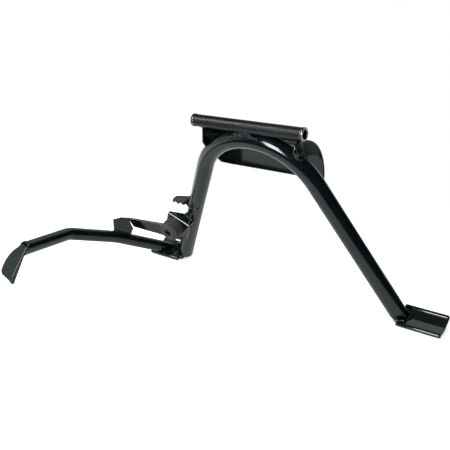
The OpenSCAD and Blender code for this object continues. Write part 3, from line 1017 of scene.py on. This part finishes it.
# %% Model one pool and lay beads with it
pools = random.Random(7)
bpy.ops.object.select_all(action="DESELECT")
bpy.ops.mesh.primitive_ico_sphere_add(subdivisions=2, radius=1)
bpy.ops.object.mode_set(mode="EDIT")
bpy.ops.mesh.select_all(action="SELECT")
bpy.ops.transform.resize(value=(0.72, 1.0, 0.8))
bpy.ops.object.mode_set(mode="OBJECT")
pool_mesh = bpy.context.object.data
bpy.data.objects.remove(bpy.context.object)


def spaced(path, step):
    """Points along a path of straight runs, a step apart, with their headings."""
    spots, carry = [], 0.0
    for here, there in zip(path, path[1:]):
        run = (there - here).length
        if run < 1e-6:
            continue
        aim = (there - here) / run
        while carry < run:
            spots.append((here + carry * aim, aim))
            carry += step
        carry -= run
    return spots


def weld(name, paths, radius, step=1.9, slot="frame_paint", voxel=0.42):
    """Lays pools along each path, fuses them and melts their steps."""
    shape = bmesh.new()
    for path in paths:
        for spot, aim in spaced(path, step):
            size = radius * pools.uniform(0.9, 1.1)
            shift = Vector([pools.uniform(-0.12, 0.12) * radius for _ in range(3)])
            turn = aim.to_track_quat("X", "Z").to_matrix().to_4x4()
            known = len(shape.verts)
            shape.from_mesh(pool_mesh)
            shape.verts.ensure_lookup_table()
            spread = Matrix.Translation((spot + shift) * MM) @ turn @ Matrix.Scale(size * MM, 4)
            bmesh.ops.transform(shape, matrix=spread, verts=shape.verts[known:])
    data = bpy.data.meshes.new(name)
    shape.to_mesh(data)
    shape.free()
    bead = put(name, data)
    modify(bead, "REMESH", mode="VOXEL", voxel_size=voxel * MM)
    modify(bead, "SMOOTH", factor=0.5, iterations=1)
    bpy.ops.object.shade_smooth()
    clad(bead, slot)
    return bead


print("pool faces:", len(pool_mesh.polygons))

# %% [markdown]
# ## The crown and pivot beads
# The crown hangs from the pivot tube by two beads, one in each valley between the tubes.
# The rear one is short and thick, and the welder laid it low, on the crown. Longer and
# thinner beads tie the cover's flat to the pivot tube on both sides of the crown.

# %% Weld the crown and the cover
def on_crown(across_mm, around, radius=LEG_R):
    """Point over the crown bend; around is 0 on its outer side and 90 at the rear."""
    phi = math.radians(around)
    reach = CROWN_R + radius * math.cos(phi)
    turn = math.asin(across_mm / reach)
    return leg_plane(
        reach * math.sin(turn), radius * math.sin(phi), CROWN_R - reach * math.cos(turn)
    )


rear_seam = [on_crown(x, 36 + 8 * abs(x + 2) / 22, LEG_R + 0.3) for x in range(-24, 21, 2)]
upper_seam = [p + Vector((0, -0.6, 3.0)) for p in rear_seam[4:-5]]
front_seam = [on_crown(x, -46, LEG_R) for x in range(-17, 18, 2)]
crown_bead = weld(
    "crown_bead", [rear_seam, upper_seam, front_seam], 3.4, 3.9, "pivot_paint"
)
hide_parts("crown_weld")

COVER_SEAM = (5.6, -7.9)
cover_runs = [
    [Vector((side * x, *COVER_SEAM)) for x in range(26, 74, 4)] for side in (LEFT, RIGHT)
]
cover_bead = weld("cover_bead", cover_runs, 2.2, 1.8)
print("crown and cover beads:", len(crown_bead.data.polygons), len(cover_bead.data.polygons))

# %% [markdown]
# ## The foot beads
# Each leg is cut to the folded plate and welded wherever the plate lies under it. The seam
# is found as a welder would scribe it: lines run down the tube's skin until they meet the
# plate, on whichever side of the fold they come down. The meeting point is closed in on by
# halving, because the two slopes of the plate make a formula long.

# %% Weld the legs to the feet
def above_plate(spot):
    """Height over the upper face of the foot plates, and distance from their fold."""
    y, z = spot.y - FOOT.y, spot.z - FOOT.z
    across_fold = y * math.cos(FOOT_TILT) + z * math.sin(FOOT_TILT)
    lift = z * math.cos(FOOT_TILT) - y * math.sin(FOOT_TILT)
    return lift - abs(across_fold) * math.tan(FOOT_SLOPE), across_fold


def foot_seam(middle, aim, radius, count=48):
    """Where the lines of a tube's skin meet the foot plates."""
    side = aim.cross(UP).normalized()
    over = side.cross(aim)
    seam = []
    for i in range(count + 1):
        turn = 2 * math.pi * i / count
        start = middle + radius * (math.cos(turn) * side + math.sin(turn) * over)
        near, far = -60.0, 60.0
        for _ in range(30):
            mid = (near + far) / 2
            if above_plate(start + mid * aim)[0] > 0:
                near = mid
            else:
                far = mid
        seam.append(start + near * aim)
    return seam


def on_foot(spot, margin):
    """Whether a point of a seam lies on a foot plate, that far inside its long edges."""
    return abs(above_plate(spot)[1]) < FOOT_HALF - margin


for side, name in ((LEFT, "left_foot_bead"), (RIGHT, "right_foot_bead")):
    aim = (by_leg(side, 0, 0, 1) - by_leg(side, 0, 0, 0)).normalized()
    seam = foot_seam(Vector((side * FOOT.x, FOOT.y, FOOT.z)), aim, LEG_R)
    seam = [p for p in seam if abs(p.x) > FOOT.x - FOOT_TUCK - 0.2 and on_foot(p, 1)]
    bead = weld(name, [seam], 2.6)
    print(name, "faces:", len(bead.data.polygons))

# %% [markdown]
# ## The bead at the lever's foot
# The lever's end is cut and welded in the same way, as far as the left plate goes. Its seam
# leaves the plate for a stretch, so the list is turned to start after that gap. Otherwise
# a bead would be laid straight through the air.

# %% Weld the lever to its foot
seam = foot_seam(lever_foot, -RISE, LEVER_R)
seam = [p for p in seam if on_foot(p, 2)]
gaps = [(b - a).length for a, b in zip(seam, seam[1:])]
jump = gaps.index(max(gaps)) + 1
seam = seam[jump:] + seam[:jump]
lever_bead = weld("lever_foot_bead", [seam], 2.4)
print("lever bead faces:", len(lever_bead.data.polygons))

# %% [markdown]
# ## The bead of the pad
# A thin bead runs round the lever where it meets the back of the pad. Lines along the
# lever's skin are run on until they meet the plane of that back, which is a plain division.

# %% Weld the pad
PAD_BACK = 2.0


def pad_seam(count=40):
    """Where the lever's skin meets the back of the pad."""
    back = lever_end - PAD_BACK * PAD_OUT
    side = END.cross(UP).normalized()
    over = side.cross(END)
    seam = []
    for i in range(count + 1):
        turn = 2 * math.pi * i / count
        spot = lever_end + LEVER_R * (math.cos(turn) * side + math.sin(turn) * over)
        fall = (back - spot).dot(PAD_OUT) / END.dot(PAD_OUT)
        seam.append(spot + fall * END)
    return seam


pad_bead = weld("pad_bead", [pad_seam()], 1.4, 1.2)
print("pad bead faces:", len(pad_bead.data.polygons))

# %% [markdown]
# ## The beads of the brace
# The brace stands on the lever with a short bead on each side, and its other flat runs to
# the leg, where a bead on each side of the sheet follows the leg's skin. The direction of
# that flat is found from two points on it, with the part along the leg taken off.

# %% Weld the brace
def above_lever(back, height, beside_mm=0.0):
    """Point over the lever's rising run, back from its gentle bend."""
    sideways = RISE.cross(UP).normalized()
    return lever_bend - back * RISE + height * UP + beside_mm * sideways


BRACE_FOLD, BRACE_RISE, BRACE_TOP = 24, 39, 156
brace_runs = [
    [above_lever(back, LEVER_R + 0.6, aside) for back in range(-3, BRACE_FOLD, 3)]
    for aside in (-2.2, 2.2)
]
fold_top = above_lever(BRACE_FOLD, BRACE_RISE)
leg_aim = (by_leg(LEFT, 0, 0, 1) - by_leg(LEFT, 0, 0, 0)).normalized()
flat_aim = fold_top - by_leg(LEFT, 0, 0, BRACE_TOP)
flat_aim = (flat_aim - flat_aim.dot(leg_aim) * leg_aim).normalized()
face_aim = flat_aim.cross(leg_aim).normalized()
for shift in (-1.8, 1.8):
    brace_runs.append(
        [
            by_leg(LEFT, 0, 0, k) + LEG_R * flat_aim + shift * face_aim
            for k in range(160, 194, 3)
        ]
    )
brace_bead = weld("brace_bead", brace_runs, 2.0, 1.7)
print("brace bead faces:", len(brace_bead.data.polygons))

# %% [markdown]
# ## The beads of the bracket and the spring tab
# The bracket's shelf is welded to the leg above and below. The spring tab's bead goes down
# its root and round the rear of the leg, where it ends in a short return. All of them lie on
# the leg's skin, so they are told by an angle round the leg and a distance down it.

# %% Weld the bracket and the tab
def on_left_skin(around, down, radius=LEG_R):
    """Point on the left leg's skin; around is 0 outward and 90 at the rear."""
    turn = math.radians(around)
    return by_leg(LEFT, radius * math.cos(turn), radius * math.sin(turn), down)


shelf_top = [on_left_skin(a, 117.4) for a in range(32, 128, 8)]
shelf_low = [on_left_skin(a, 122.2) for a in range(32, 128, 8)]
bracket_bead = weld("bracket_bead", [shelf_top, shelf_low], 2.2, 1.8)

tab_run = [
    on_left_skin(a, k)
    for a, k in ((44, 72), (44, 85), (48, 96), (75, 93), (102, 89.5), (125, 88.5), (140, 88))
]
tab_end = [on_left_skin(a, k) for a, k in ((141, 88), (144, 82), (146, 73))]
tab_bead = weld("tab_bead", [tab_run, tab_end], 1.7, 1.6)
print("bracket and tab beads:", len(bracket_bead.data.polygons), len(tab_bead.data.polygons))

# %% [markdown]
# ## The beads of the hook and the cheeks
# The hook's shank is laid on the right cheek between two short beads. The cheeks are tied
# to the crown bend where they pass it, on its outer side and over the front.

# %% Weld the hook and the cheeks
CHEEK_FACE = 75.0
HOOK_SHANK = Vector((CHEEK_FACE + 0.8, -1, -27.5))
hook_runs = [
    [HOOK_SHANK + Vector((0, along, lift)) for along in (5, 8, 11, 14)]
    for lift in (-2.2, 2.2)
]
hook_bead = weld("hook_bead", hook_runs, 1.7, 1.5)


def cheek_seam(side, start, stop):
    """Round the crown bend at the cheek's outer face, from one angle to another."""
    across_mm = side * (CHEEK_FACE + 0.5)
    return [on_crown(across_mm, around, LEG_R + 0.2) for around in range(start, stop, 8)]


cheek_runs = [cheek_seam(LEFT, -95, 20), cheek_seam(RIGHT, -70, 25)]
cheek_bead = weld("cheek_bead", cheek_runs, 2.0, 1.8)
print("hook and cheek beads:", len(hook_bead.data.polygons), len(cheek_bead.data.polygons))
